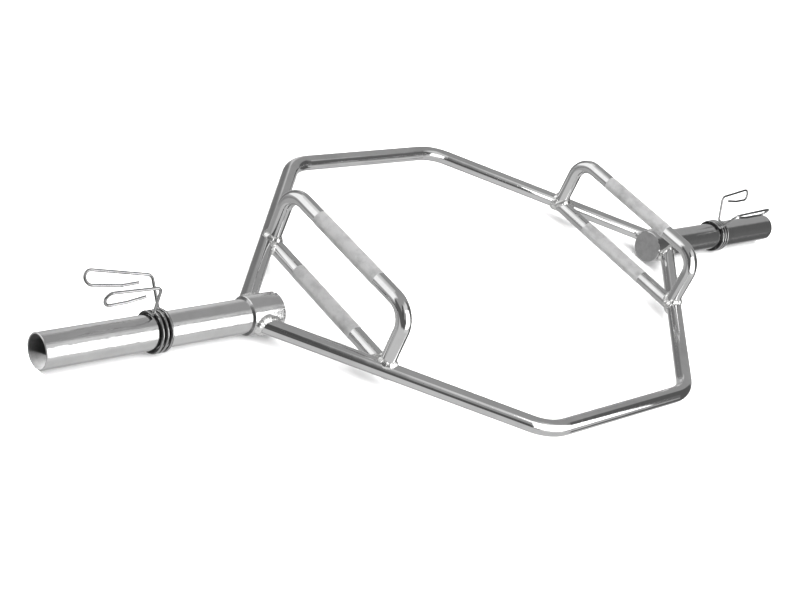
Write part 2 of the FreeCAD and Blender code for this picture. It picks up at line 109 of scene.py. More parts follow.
class CollarCoil(bpy.types.PropertyGroup):
    """Wound wire of the two spring collars."""
    wire: FloatProperty(name="Wire", description="Diameter of the wire", default=0.0045, unit="LENGTH")
    clearance: FloatProperty(name="Clearance", description="Sleeve to the inside of the coil", default=0.0009,
                             unit="LENGTH")
    pitch: FloatProperty(name="Pitch", description="Advance in one turn", default=0.0075, unit="LENGTH")
    whole_turns: IntProperty(name="Whole turns", description="Full turns of the coil", default=3, min=1)
    spread: FloatProperty(name="Spread", description="Angle between the two arms", default=math.radians(45),
                          subtype="ANGLE")
    root_bend: FloatProperty(name="Root bend", description="Bend from the coil into an arm", default=0.006,
                             unit="LENGTH")
    left_station: FloatProperty(name="Left station", description="Middle to the first wire on the left",
                                default=0.633, unit="LENGTH")
    right_station: FloatProperty(name="Right station", description="Middle to the first wire on the right",
                                 default=0.640, unit="LENGTH")
    left_roll: FloatProperty(name="Left roll", description="Lean of the left collar's first arm",
                             default=math.radians(-46), subtype="ANGLE")
    right_roll: FloatProperty(name="Right roll", description="Lean of the right collar's first arm",
                              default=math.radians(-23), subtype="ANGLE")
    colour: FloatVectorProperty(name="Colour", description="Colour of the spring wire", subtype="COLOR",
                                size=4, min=0, max=1, default=(0.46, 0.46, 0.46, 1))


class SteelFinish(bpy.types.PropertyGroup):
    """Plated finish of the bars, hubs, sleeves and handles."""
    chrome: FloatVectorProperty(name="Chrome", description="Colour of the plating", subtype="COLOR",
                                size=4, min=0, max=1, default=(0.72, 0.72, 0.72, 1))
    haze: FloatVectorProperty(name="Haze", description="Colour of hazed plating", subtype="COLOR",
                              size=4, min=0, max=1, default=(0.60, 0.60, 0.60, 1))
    bore: FloatVectorProperty(name="Bore", description="Colour of the bare steel inside the sleeves",
                              subtype="COLOR", size=4, min=0, max=1, default=(0.03, 0.03, 0.03, 1))
    polish: FloatProperty(name="Polish", description="Roughness of the cleanest plating", default=0.04,
                          min=0, max=1, subtype="FACTOR")
    wear: FloatProperty(name="Wear", description="Roughness of the most handled plating", default=0.13,
                        min=0, max=1, subtype="FACTOR")


class StudioStage(bpy.types.PropertyGroup):
    """Camera, floor and lights."""
    eye: FloatVectorProperty(name="Eye", description="Place of the camera", subtype="TRANSLATION",
                             unit="LENGTH", default=(-1.71071, -1.17095, 1.17031 + AXIS_HEIGHT))
    turn: FloatVectorProperty(name="Turn", description="Turn of the camera", subtype="EULER", unit="ROTATION",
                              default=(0.97361, -0.359066, -0.683655))
    lens: FloatProperty(name="Lens", description="Focal length in millimetres", default=64.89, min=1)
    floor_size: FloatProperty(name="Floor size", description="Side of the floor", default=24, unit="LENGTH")
    floor_colour: FloatVectorProperty(name="Floor colour", description="Colour of the floor", subtype="COLOR",
                                      size=4, min=0, max=1, default=(0.90, 0.90, 0.90, 1))


PROPERTIES = {
    "trap_bar_knurl": GripKnurl,
    "trap_bar_welds": WeldBeads,
    "trap_bar_coils": CollarCoil,
    "trap_bar_steel": SteelFinish,
    "trap_bar_stage": StudioStage,
}


# Node groups and finishes

def shader_group(name, inputs, outputs):
    """New shader node group with float or vector inputs and float outputs."""
    tree = bpy.data.node_groups.new(name, "ShaderNodeTree")
    for label, kind, value in inputs:
        socket = tree.interface.new_socket(label, in_out="INPUT", socket_type=kind)
        if value is not None:
            socket.default_value = value
    for label in outputs:
        tree.interface.new_socket(label, in_out="OUTPUT", socket_type="NodeSocketFloat")
    entry = tree.nodes.new("NodeGroupInput")
    leave = tree.nodes.new("NodeGroupOutput")
    return tree, entry.outputs, leave.inputs


def add_node(tree, kind, **settings):
    """New node with its settings."""
    node = tree.nodes.new(kind)
    for name, value in settings.items():
        setattr(node, name, value)
    return node


def feed_socket(tree, socket, value):
    """Link a socket to another one, or set it to a plain value."""
    if isinstance(value, bpy.types.NodeSocket):
        tree.links.new(value, socket)
    else:
        socket.default_value = value


def math_node(tree, operation, first, second=0):
    """Math node on one or two sockets or numbers."""
    node = add_node(tree, "ShaderNodeMath", operation=operation)
    for socket, value in zip(node.inputs, (first, second)):
        feed_socket(tree, socket, value)
    return node.outputs[0]


# Places of a Mix node's two inputs and its output, which go by the same names for values and for colours
MIX_SOCKETS = {"FLOAT": (2, 3, 0), "RGBA": (6, 7, 2)}


def mix_node(tree, kind, mask, low, high):
    """Mix of two sockets, values or colours, by a mask."""
    node = add_node(tree, "ShaderNodeMix", data_type=kind)
    first, second, mixed = MIX_SOCKETS[kind]
    tree.links.new(mask, node.inputs["Factor"])
    feed_socket(tree, node.inputs[first], low)
    feed_socket(tree, node.inputs[second], high)
    return node.outputs[mixed]


def split_node(tree, vector):
    """X, Y and Z of a vector."""
    node = add_node(tree, "ShaderNodeSeparateXYZ")
    tree.links.new(vector, node.inputs["Vector"])
    return node.outputs


def ramp_node(tree, value, stops):
    """Ramp of greys over a value, from stops that each give a place and a grey."""
    node = add_node(tree, "ShaderNodeValToRGB")
    ramp = node.color_ramp
    while len(ramp.elements) < len(stops):
        ramp.elements.new(0.5)
    for element, (place, grey) in zip(ramp.elements, stops):
        element.position = place
        element.color = (grey, grey, grey, 1)
    tree.links.new(value, node.inputs["Fac"])
    return node.outputs["Color"]


def noise_node(tree, vector, scale, detail, roughness=0.5, stretch=None):
    """Noise over a vector, stretched by a Mapping node where a stretch is given."""
    if stretch is not None:
        mapping = add_node(tree, "ShaderNodeMapping")
        mapping.inputs["Scale"].default_value = stretch
        tree.links.new(vector, mapping.inputs["Vector"])
        vector = mapping.outputs["Vector"]
    node = add_node(tree, "ShaderNodeTexNoise")
    tree.links.new(vector, node.inputs["Vector"])
    feed_socket(tree, node.inputs["Scale"], scale)
    node.inputs["Detail"].default_value = detail
    node.inputs["Roughness"].default_value = roughness
    return node.outputs["Fac"]


def handling_marks():
    """Smudges, hairline scratches and pits of handled plating, as masks."""
    tree, given, result = shader_group(
        "Handling Marks",
        [("Vector", "NodeSocketVector", None), ("Scale", "NodeSocketFloat", 9.0)],
        ["Smudge", "Scratch", "Pit"])
    broad = noise_node(tree, given["Vector"], given["Scale"], detail=5, roughness=0.62)
    tree.links.new(ramp_node(tree, broad, [(0.42, 0), (0.70, 1)]), result["Smudge"])
    one_way = noise_node(tree, given["Vector"], scale=60, detail=3, roughness=0.6, stretch=(1, 14, 3))
    other_way = noise_node(tree, given["Vector"], scale=70, detail=3, roughness=0.6, stretch=(12, 1, 4))
    crossed = math_node(tree, "MAXIMUM", one_way, other_way)
    tree.links.new(ramp_node(tree, crossed, [(0.66, 0), (0.74, 1)]), result["Scratch"])
    speck = noise_node(tree, given["Vector"], scale=420, detail=2)
    tree.links.new(ramp_node(tree, speck, [(0.70, 0), (0.78, 1)]), result["Pit"])
    return tree


def plating_waves():
    """Slow unevenness of drawn and bent steel under its plating, as a height."""
    tree, given, result = shader_group(
        "Plating Waves",
        [("Vector", "NodeSocketVector", None), ("Scale", "NodeSocketFloat", 30.0)],
        ["Height"])
    slow = noise_node(tree, given["Vector"], given["Scale"], detail=2, roughness=0.4)
    tree.links.new(slow, result["Height"])
    return tree


def soft_panel():
    """Soft-edged panel around a heading, between two elevations, as a mask."""
    tree, given, result = shader_group(
        "Soft Panel",
        [("Heading", "NodeSocketVector", None), ("Aim", "NodeSocketVector", None),
         ("Half Width", "NodeSocketFloat", 0.5), ("Low", "NodeSocketFloat", 0.0),
         ("High", "NodeSocketFloat", 0.7), ("Softness", "NodeSocketFloat", 0.1)],
        ["Mask"])
    level = add_node(tree, "ShaderNodeVectorMath", operation="MULTIPLY")
    level.inputs[1].default_value = (1, 1, 0)
    tree.links.new(given["Heading"], level.inputs[0])
    unit = add_node(tree, "ShaderNodeVectorMath", operation="NORMALIZE")
    tree.links.new(level.outputs["Vector"], unit.inputs[0])
    toward = add_node(tree, "ShaderNodeVectorMath", operation="DOT_PRODUCT")
    tree.links.new(unit.outputs["Vector"], toward.inputs[0])
    tree.links.new(given["Aim"], toward.inputs[1])
    aside = math_node(tree, "ARCCOSINE", toward.outputs["Value"])
    elevation = math_node(tree, "ARCSINE", split_node(tree, given["Heading"])["Z"])
    outside = math_node(tree, "MULTIPLY", given["Softness"], -1)
    margins = (
        math_node(tree, "SUBTRACT", given["Half Width"], aside),
        math_node(tree, "SUBTRACT", elevation, given["Low"]),
        math_node(tree, "SUBTRACT", given["High"], elevation),
    )
    mask = 1.0
    for margin in margins:
        edge = add_node(tree, "ShaderNodeMapRange", interpolation_type="SMOOTHSTEP")
        tree.links.new(margin, edge.inputs["Value"])
        tree.links.new(outside, edge.inputs["From Min"])
        tree.links.new(given["Softness"], edge.inputs["From Max"])
        mask = math_node(tree, "MULTIPLY", edge.outputs["Result"], mask)
    tree.links.new(mask, result["Mask"])
    return tree


def effect_group(name, make):
    """Node group of that name, built once."""
    return bpy.data.node_groups.get(name) or make()


def shaded(colour, share):
    """Colour darkened to a share of itself."""
    return (*(share * channel for channel in colour[:3]), 1)


class Finish:
    """Material under construction: its tree, its Principled shader and the coordinates that it reads."""

    def __init__(self, name, metallic=0.0):
        self.material = bpy.data.materials.new(name)
        self.material.use_nodes = True
        self.tree = self.material.node_tree
        self.shader = self.tree.nodes["Principled BSDF"]
        self.shader.inputs["Metallic"].default_value = metallic
        self.place = add_node(self.tree, "ShaderNodeTexCoord").outputs["Object"]

    def effect(self, name, make, **values):
        """Outputs of a shared effect, fed with the coordinates."""
        node = add_node(self.tree, "ShaderNodeGroup", node_tree=effect_group(name, make))
        self.tree.links.new(self.place, node.inputs["Vector"])
        for label, value in values.items():
            node.inputs[label.capitalize()].default_value = value
        return node.outputs

    def blend_colour(self, mask, low, high):
        """Colour between two, by a mask."""
        return mix_node(self.tree, "RGBA", mask, low, high)

    def blend_value(self, mask, low, high):
        """Value between two, by a mask."""
        return mix_node(self.tree, "FLOAT", mask, low, high)

    def spread(self, mask, low, high):
        """Mask spread over a range of values."""
        node = add_node(self.tree, "ShaderNodeMapRange")
        self.tree.links.new(mask, node.inputs["Value"])
        node.inputs["To Min"].default_value = low
        node.inputs["To Max"].default_value = high
        return node.outputs["Result"]

    def feed(self, socket, value):
        """Link a value to a socket of the shader."""
        self.tree.links.new(value, self.shader.inputs[socket])

    def bump(self, height, distance, strength=1.0, under=None):
        """Bump of a height, over another bump where one is given."""
        node = add_node(self.tree, "ShaderNodeBump")
        node.inputs["Strength"].default_value = strength
        node.inputs["Distance"].default_value = distance
        self.tree.links.new(height, node.inputs["Height"])
        if under is not None:
            self.tree.links.new(under, node.inputs["Normal"])
        return node.outputs["Normal"]


def chrome_base(finish, steel, along, grain=9.0):
    """Colour, roughness and normal of bright plating with haze, scratches, slow waves and drawing lines."""
    marks = finish.effect("Handling Marks", handling_marks, scale=grain)
    waves = finish.effect("Plating Waves", plating_waves)
    colour = finish.blend_colour(marks["Smudge"], steel.chrome, steel.haze)
    worn = math_node(finish.tree, "MAXIMUM", marks["Smudge"], marks["Scratch"])
    roughness = finish.spread(worn, steel.polish, steel.wear)
    normal = finish.bump(waves["Height"], distance=0.0012, strength=0.15)
    if along is not None:
        lines = noise_node(finish.tree, finish.place, scale=90, detail=4, roughness=0.65, stretch=along)
        normal = finish.bump(lines, distance=0.0006, strength=0.25, under=normal)
    normal = finish.bump(marks["Scratch"], distance=-0.00005, strength=0.3, under=normal)
    return colour, roughness, normal


def chrome_finish(name, steel, grain=9.0):
    """Bright plating with smudges of a given fineness."""
    finish = Finish(name, metallic=1.0)
    colour, roughness, normal = chrome_base(finish, steel, None, grain)
    finish.feed("Base Color", colour)
    finish.feed("Roughness", roughness)
    finish.feed("Normal", normal)
    return finish.material


def axis_distance(finish):
    """Distance of each point from the sleeves' axis."""
    parts = split_node(finish.tree, finish.place)
    lift = math_node(finish.tree, "SUBTRACT", parts["Z"], AXIS_HEIGHT)
    across = math_node(finish.tree, "MULTIPLY", parts["Y"], parts["Y"])
    upright = math_node(finish.tree, "MULTIPLY", lift, lift)
    return math_node(finish.tree, "SQRT", math_node(finish.tree, "ADD", across, upright))


def hub_finish(name, steel, along):
    """Bright plating, with a ring of painted shade on the shoulder that meets the plates."""
    finish = Finish(name, metallic=1.0)
    shade_depth = 0.0004
    colour, roughness, normal = chrome_base(finish, steel, along)
    # Painted shade: the hub's end shoulder next to the sleeve is darkened and roughened into a ring, broken
    # up by smudge patches; the rest keeps the plating's colour.
    station = math_node(finish.tree, "ABSOLUTE", split_node(finish.tree, finish.place)["X"])
    plated = math_node(finish.tree, "LESS_THAN", station, HUB_HIGH.x - shade_depth)
    patches = finish.effect("Handling Marks", handling_marks, scale=55.0)["Smudge"]
    unshaded = math_node(finish.tree, "MAXIMUM", plated, patches)
    painted_shade = shaded(steel.chrome, 0.36)
    finish.feed("Base Color", finish.blend_colour(unshaded, painted_shade, colour))
    finish.feed("Roughness", finish.blend_value(unshaded, low=0.45, high=roughness))
    finish.feed("Normal", normal)
    return finish.material


def sleeve_finish(name, steel, along):
    """Bright plating outside a sleeve, bare dull steel in its bore."""
    finish = Finish(name)
    finish.shader.inputs["Specular IOR Level"].default_value = 0.05
    plated_depth = 0.0021
    colour, roughness, normal = chrome_base(finish, steel, along)
    outside = math_node(finish.tree, "GREATER_THAN", axis_distance(finish), SLEEVE_RADIUS - plated_depth)
    rust = finish.effect("Handling Marks", handling_marks, scale=60.0)["Smudge"]
    bare = finish.blend_colour(rust, steel.bore, shaded(steel.bore, 0.6))
    finish.feed("Base Color", finish.blend_colour(outside, bare, colour))
    finish.feed("Roughness", finish.blend_value(outside, low=0.7, high=roughness))
    finish.feed("Metallic", outside)
    finish.feed("Normal", normal)
    return finish.material


def knurl_finish(name, knurl):
    """Satin plated steel with dull patches and fine pits."""
    finish = Finish(name, metallic=0.85)
    marks = finish.effect("Handling Marks", handling_marks, scale=38.0)
    dull = shaded(knurl.colour, 0.70)
    finish.feed("Base Color", finish.blend_colour(marks["Smudge"], knurl.colour, dull))
    finish.feed("Roughness", finish.spread(marks["Smudge"], low=0.34, high=0.48))
    finish.feed("Normal", finish.bump(marks["Pit"], distance=-0.0001, strength=0.4))
    return finish.material


def weld_finish(name, welds):
    """Plated weld metal, bright and uneven."""
    finish = Finish(name, metallic=1.0)
    marks = finish.effect("Handling Marks", handling_marks, scale=45.0)
    waves = finish.effect("Plating Waves", plating_waves, scale=240.0)
    dull = shaded(welds.colour, 0.72)
    finish.feed("Base Color", finish.blend_colour(marks["Smudge"], welds.colour, dull))
    finish.feed("Roughness", finish.spread(marks["Smudge"], low=0.16, high=0.36))
    normal = finish.bump(waves["Height"], distance=0.0012, strength=0.6)
    finish.feed("Normal", finish.bump(marks["Pit"], distance=-0.0002, strength=0.5, under=normal))
    return finish.material


def wire_finish(name, coils):
    """Plated spring wire with fine scratches, with painted shade on the wire's inner side, between the turns
    and against the sleeve.
    """
    finish = Finish(name, metallic=1.0)
    marks = finish.effect("Handling Marks", handling_marks, scale=40.0)
    plated = finish.blend_colour(marks["Smudge"], coils.colour, shaded(coils.colour, 0.75))
    wire_inside = SLEEVE_RADIUS + coils.clearance
    # Painted shade: the wire's inner half, towards the sleeve, is darkened where shade falls between the
    # turns and against the sleeve.
    crest = add_node(finish.tree, "ShaderNodeMapRange", interpolation_type="SMOOTHSTEP")
    finish.tree.links.new(axis_distance(finish), crest.inputs["Value"])
    crest.inputs["From Min"].default_value = wire_inside + 0.5 * coils.wire
    crest.inputs["From Max"].default_value = wire_inside + 0.9 * coils.wire
    painted_shade = shaded(coils.colour, 0.15)
    finish.feed("Base Color", finish.blend_colour(crest.outputs["Result"], painted_shade, plated))
    worn = math_node(finish.tree, "MAXIMUM", marks["Smudge"], marks["Scratch"])
    finish.feed("Roughness", finish.spread(worn, low=0.10, high=0.26))
    finish.feed("Normal", finish.bump(marks["Scratch"], distance=-0.0001, strength=0.4))
    return finish.material


def floor_finish(name, stage):
    """Pale matt floor, left out of mirrored rays so that the steel mirrors the soft box and panels alone."""
    finish = Finish(name)
    marks = finish.effect("Handling Marks", handling_marks, scale=1.5)
    shade = shaded(stage.floor_colour, 0.985)
    finish.feed("Base Color", finish.blend_colour(marks["Smudge"], stage.floor_colour, shade))
    finish.feed("Roughness", finish.spread(marks["Smudge"], low=0.75, high=0.85))
    clear = add_node(finish.tree, "ShaderNodeBsdfTransparent")
    path = add_node(finish.tree, "ShaderNodeLightPath")
    mix = add_node(finish.tree, "ShaderNodeMixShader")
    finish.tree.links.new(path.outputs["Is Glossy Ray"], mix.inputs["Fac"])
    finish.tree.links.new(finish.shader.outputs["BSDF"], mix.inputs[1])
    finish.tree.links.new(clear.outputs["BSDF"], mix.inputs[2])
    finish.tree.links.new(mix.outputs["Shader"], finish.tree.nodes["Material Output"].inputs["Surface"])
    return finish.material


def kept_finish(name, make, *values):
    """Material of that name, built once."""
    return bpy.data.materials.get(name) or make(name, *values)


# Meshes

def add_piece(bm, name, material):
    """Finished object from a bmesh, smooth, with its material."""
    bmesh.ops.recalc_face_normals(bm, faces=bm.faces[:])
    mesh = bpy.data.meshes.new(name)
    bm.to_mesh(mesh)
    bm.free()
    mesh.materials.append(material)
    mesh.shade_smooth()
    piece = bpy.data.objects.new(name, mesh)
    bpy.context.scene.collection.objects.link(piece)
    return piece


def close_ends(bm):
    """Fill every open loop."""
    bmesh.ops.holes_fill(bm, edges=[edge for edge in bm.edges if edge.is_boundary], sides=0)


def knurled_band(centre, radius, knurl):
    """Band of diamond points around a grip that runs along Y, its ends sunk into the grip."""
    bm = bmesh.new()
    groove_lift = 0.00005
    around = 2 * round(math.tau * radius / knurl.pitch)
    along = 2 * round(knurl.length / knurl.pitch)
    step = knurl.length / along
    start = bm.verts.new(centre + Vector((radius, -knurl.length / 2, 0)))
    end = bm.verts.new(centre + Vector((radius, knurl.length / 2, 0)))
    line = bm.edges.new((start, end))
    bmesh.ops.subdivide_edges(bm, edges=[line], cuts=along - 1)
    bmesh.ops.spin(bm, geom=bm.verts[:] + bm.edges[:], cent=centre, axis=(0, 1, 0), angle=math.tau,
                   steps=around, use_merge=True)
    for vert in bm.verts:
        spoke = vert.co - centre
        ring = round((spoke.y + knurl.length / 2) / step)
        turn = round(math.atan2(spoke.z, spoke.x) / math.tau * around)
        spoke.y = 0
        rise = groove_lift
        if ring in (0, along):
            rise = -knurl.depth
        elif (ring + turn) % 2 == 0:
            rise = knurl.depth
        vert.co += spoke.normalized() * rise
    bmesh.ops.triangulate(bm, faces=bm.faces[:], quad_method="SHORT_EDGE")
    close_ends(bm)
    return bm


def frame_line(welds):
    """A point and the heading of the right front frame line, seen from above."""
    corner = Vector((welds.corner_station, -CORNER_DEPTH, AXIS_HEIGHT))
    apex = Vector((welds.apex_station, 0, AXIS_HEIGHT))
    return apex, (corner - apex).normalized()


def hub_seam(turn, welds):
    """Point on the edge where the right front bar meets its hub, and the way out there."""
    apex, heading = frame_line(welds)
    side = Vector((-heading.y, heading.x, 0))
    around = side * math.cos(turn) + Vector((0, 0, math.sin(turn)))
    lift = BAR_RADIUS * math.sin(turn)
    depth = -math.sqrt(HUB_RADIUS ** 2 - lift ** 2)
    start = apex + around * BAR_RADIUS
    point = start + heading * ((depth - start.y) / heading.y)
    hub_out = Vector((0, point.y, lift)).normalized()
    return point, (around + hub_out).normalized()


def low_handle_seam(turn, welds):
    """Point on the edge where the right low handle meets the front bar, and the way out there."""
    apex, heading = frame_line(welds)
    around = Vector((math.cos(turn), 0, math.sin(turn)))
    start = Vector((HANDLE_STATION, 0, AXIS_HEIGHT)) + around * LOW_GRIP_RADIUS
    lift = start.z - AXIS_HEIGHT
    inward = Vector((heading.y, -heading.x, 0))
    gap = math.sqrt(max(BAR_RADIUS ** 2 - lift ** 2, 0))
    along = (gap - (start - apex).dot(inward)) / inward.y
    point = start + Vector((0, along, 0))
    bar_out = (inward * gap + Vector((0, 0, lift))).normalized()
    return point, (around + bar_out).normalized()


def leg_seam(turn, welds):
    """Point on the edge at the foot of the right front leg of the raised handle, and the way out there."""
    upward = Vector((0, 0, 0.6))
    apex, heading = frame_line(welds)
    around = Vector((math.cos(turn), math.sin(turn), 0))
    start = Vector((HANDLE_STATION, -LEG_STATION, AXIS_HEIGHT)) + around * HIGH_GRIP_RADIUS
    across = start.x - HANDLE_STATION
    on_grip = math.sqrt(max(LOW_GRIP_RADIUS ** 2 - across ** 2, 0))
    side = Vector((-heading.y, heading.x, 0))
    away = (start - apex).dot(side)
    on_bar = math.sqrt(max(BAR_RADIUS ** 2 - away ** 2, 0))
    point = start + Vector((0, 0, max(on_grip, on_bar)))
    return point, (around + upward).normalized()


# Half lengths of a ripple along, across and out of its seam, as shares of the bead's reach
RIPPLE_SHARES = (0.85, 1, 0.6)


def rippled_bead(bm, seam, welds, rng):
    """Row of overlapping ripples around a closed seam."""
    chords = 72
    look = 0.05
    trial = [seam(math.tau * index / chords, welds)[0] for index in range(chords + 1)]
    length = sum((second - first).length for first, second in zip(trial, trial[1:]))
    count = round(length / welds.spacing)
    for index in range(count):
        turn = math.tau * index / count
        point, out = seam(turn, welds)
        ahead = (seam(turn + look, welds)[0] - seam(turn - look, welds)[0]).normalized()
        across = out.cross(ahead).normalized()
        turned = Matrix((ahead, across, out)).transposed().to_4x4()
        reach = welds.reach * rng.uniform(0.88, 1.12)
        stretch = Matrix.Diagonal((*(share * reach for share in RIPPLE_SHARES), 1))
        bmesh.ops.create_uvsphere(bm, u_segments=8, v_segments=6, radius=1,
                                  matrix=Matrix.Translation(point) @ turned @ stretch)


def bead_pair(seam, side, welds, seed):
    """Front and rear bead of one kind on one side."""
    bm = bmesh.new()
    rippled_bead(bm, seam, welds, random.Random(seed))
    front_bead = bm.verts[:] + bm.edges[:] + bm.faces[:]
    bmesh.ops.mirror(bm, geom=front_bead, matrix=Matrix(), merge_dist=0, axis="Y")
    bmesh.ops.scale(bm, vec=(SIDES[side], 1, 1), verts=bm.verts[:])
    return bm


def coil_wire(coils):
    """Coil of wire about X with its two roots bent outwards, in the collar's own frame."""
    bm = bmesh.new()
    radius = SLEEVE_RADIUS + coils.clearance + coils.wire / 2
    sweep = math.tau * coils.whole_turns + coils.spread
    root = math.asin(coils.root_bend / (radius + coils.root_bend))
    advance = coils.pitch / math.tau
    tilt = math.atan2(advance, radius)
    wire_sides = 16
    turn_steps = 48
    bend_steps = 10
    winding_steps = turn_steps * (coils.whole_turns + 1)

    def at(angle, distance):
        """Point at an angle along the winding and a distance from its axis."""
        return Vector((advance * angle, distance * math.sin(angle), distance * math.cos(angle)))

    ring = bmesh.ops.create_circle(bm, segments=wire_sides, radius=coils.wire / 2)["verts"]
    stand = Matrix.Rotation(-tilt, 3, "Z") @ Matrix.Rotation(math.radians(-90), 3, "X")
    bmesh.ops.rotate(bm, verts=ring, matrix=Matrix.Rotation(-root, 3, "X") @ stand)
    bmesh.ops.translate(bm, verts=ring, vec=at(root, radius))
    first_loop = ring + bm.edges[:]
    wound = sweep - 2 * root
    last_loop = bmesh.ops.spin(bm, geom=first_loop, cent=(0, 0, 0), axis=(1, 0, 0), angle=-wound,
                               dvec=(advance * wound / winding_steps, 0, 0), steps=winding_steps)["geom_last"]
    for loop, angle, way, end in ((last_loop, sweep - root, 1, sweep), (first_loop, root, -1, 0)):
        bent = bmesh.ops.spin(bm, geom=loop, cent=at(angle, radius + coils.root_bend), axis=(1, 0, 0),
                              angle=way * (math.pi / 2 - root), steps=bend_steps,
                              dvec=(way * advance * root / bend_steps, 0, 0))["geom_last"]
        edges = [item for item in bent if isinstance(item, bmesh.types.BMEdge)]
        grown = bmesh.ops.extrude_edge_only(bm, edges=edges)["geom"]
        tip = [item for item in grown if isinstance(item, bmesh.types.BMVert)]
        outward = at(end, 1) - at(end, 0)
        bmesh.ops.translate(bm, verts=tip, vec=outward * coils.wire)
        middle = sum((vert.co for vert in tip), Vector()) / len(tip)
        levelling = Matrix.Rotation(-way * tilt, 3, outward.cross((1, 0, 0)))
        bmesh.ops.rotate(bm, verts=tip, cent=middle, matrix=levelling)
    close_ends(bm)
    return bm


def seat_on_sleeve(bm, side, station, roll):
    """Move a collar piece from its own frame, X outboard, to its place on a sleeve."""
    outboard = Matrix.Rotation(math.pi if side == "left" else 0, 4, "Z")
    place = Matrix.Translation((SIDES[side] * station, 0, AXIS_HEIGHT))
    bmesh.ops.transform(bm, matrix=place @ outboard @ Matrix.Rotation(-roll, 4, "X"), verts=bm.verts[:])


# Operators

class TRAPBAR_OT_finish_steel(bpy.types.Operator):
    """Give the plated solids their finishes"""
    bl_idname = "trap_bar.finish_steel"
    bl_label = "Finish Steel"

    def execute(self, context):
        steel = context.scene.trap_bar_steel
        coils = context.scene.trap_bar_coils
        bar_chrome = kept_finish("bar_chrome", chrome_finish, steel)
        plug_grain = 75.0
        plug_chrome = kept_finish("plug_chrome", chrome_finish, steel, plug_grain)
        drawn = (0.6, 9, 9)
        hub_chrome = kept_finish("hub_chrome", hub_finish, steel, drawn)
        sleeve_chrome = kept_finish("sleeve_chrome", sleeve_finish, steel, drawn)
        handle_chrome = kept_finish("handle_chrome", chrome_finish, steel)
        wire = kept_finish("spring_wire_plated", wire_finish, coils)
        by_ending = {
            "frame_bar": bar_chrome,
            "hub": hub_chrome,
            "hub_plug": plug_chrome,
            "sleeve": sleeve_chrome,
            "low_handle": handle_chrome,
            "high_handle": handle_chrome,
            "collar_inner_arm": wire,
            "collar_outer_arm": wire,
        }
        for name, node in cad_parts.items():
            material = by_ending.get(name.partition("_")[2])
            if material is not None:
                node.material_slots[0].material = material
        return {"FINISHED"}


class TRAPBAR_OT_knurl_grips(bpy.types.Operator):
    """Put a knurled band on each of the four grips"""
    bl_idname = "trap_bar.knurl_grips"
    bl_label = "Knurl Grips"

    def execute(self, context):
        knurl = context.scene.trap_bar_knurl
        material = kept_finish("knurled_steel", knurl_finish, knurl)
        grips = {"low": (AXIS_HEIGHT, LOW_GRIP_RADIUS), "high": (HIGH_GRIP_HEIGHT, HIGH_GRIP_RADIUS)}
        for side, sign in SIDES.items():
            for grip, (height, radius) in grips.items():
                bm = knurled_band(Vector((sign * HANDLE_STATION, 0, height)), radius, knurl)
                piece = add_piece(bm, f"{side}_{grip}_knurl", material)
                piece.data.shade_flat()
                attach(piece, "bar")
        return {"FINISHED"}


class TRAPBAR_OT_lay_welds(bpy.types.Operator):
    """Lay rippled beads at the welded joints"""
    bl_idname = "trap_bar.lay_welds"
    bl_label = "Lay Welds"

    def execute(self, context):
        welds = context.scene.trap_bar_welds
        material = kept_finish("weld_metal", weld_finish, welds)
        seams = {"hub": hub_seam, "low_handle": low_handle_seam, "high_handle": leg_seam}
        for seed, (kind, seam) in enumerate(seams.items()):
            for side in SIDES:
                bm = bead_pair(seam, side, welds, 10 * seed + SIDES[side])
                piece = add_piece(bm, f"{side}_{kind}_beads", material)
                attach(piece, "bar")
                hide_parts(f"{side}_{kind}_welds")
        return {"FINISHED"}


class TRAPBAR_OT_wind_coils(bpy.types.Operator):
    """Wind the coils of the two spring collars"""
    bl_idname = "trap_bar.wind_coils"
    bl_label = "Wind Coils"

    def execute(self, context):
        coils = context.scene.trap_bar_coils
        material = kept_finish("spring_wire_plated", wire_finish, coils)
        stations = {"left": coils.left_station, "right": coils.right_station}
        rolls = {"left": coils.left_roll, "right": coils.right_roll}
        for side, sign in SIDES.items():
            bm = coil_wire(coils)
            seat_on_sleeve(bm, side, stations[side], rolls[side])
            piece = add_piece(bm, f"{side}_coil_wire", material)
            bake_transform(piece)
            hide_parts(f"{side}_collar_coil")
        return {"FINISHED"}


class SoftPanel(NamedTuple):
    """Soft-edged patch of the surroundings: its azimuth from +X and its edges in degrees, and its grey."""
    azimuth: float
    half_width: float
    low: float
    high: float
    softness: float
    grey: float


# Each panel lies over the ones before it
PANELS = {
    "floor_glow": SoftPanel(-100, 90, -80, -8, 6, 0.70),
    "back_floor": SoftPanel(140, 32, -29, -13, 3, 0.34),
    "right_shade": SoftPanel(-18, 18, -36, 43, 3, 0.13),
    "front_shade": SoftPanel(-56, 21, -6, 43, 5, 0.15),
    "left_shade": SoftPanel(188, 31, -12, 28, 4, 0.13),
    "back_shade": SoftPanel(84, 17, -28, 22, 5, 0.24),
    "front_glow": SoftPanel(-72, 50, 43, 69, 7, 0.88),
    "back_glow": SoftPanel(120, 42, 43, 59, 7, 0.93),
    "front_edge": SoftPanel(-140, 12, 8, 60, 3, 0.10),
    "front_sill": SoftPanel(-124, 28, -9, 20, 4, 0.12),
    "front_foot": SoftPanel(-80, 25, -18, 7, 3, 0.86),
    "right_glimmer": SoftPanel(57, 5, -5, 28, 3, 0.75),
    "back_panel": SoftPanel(130, 29, -3, 47, 4, 1.3),
}


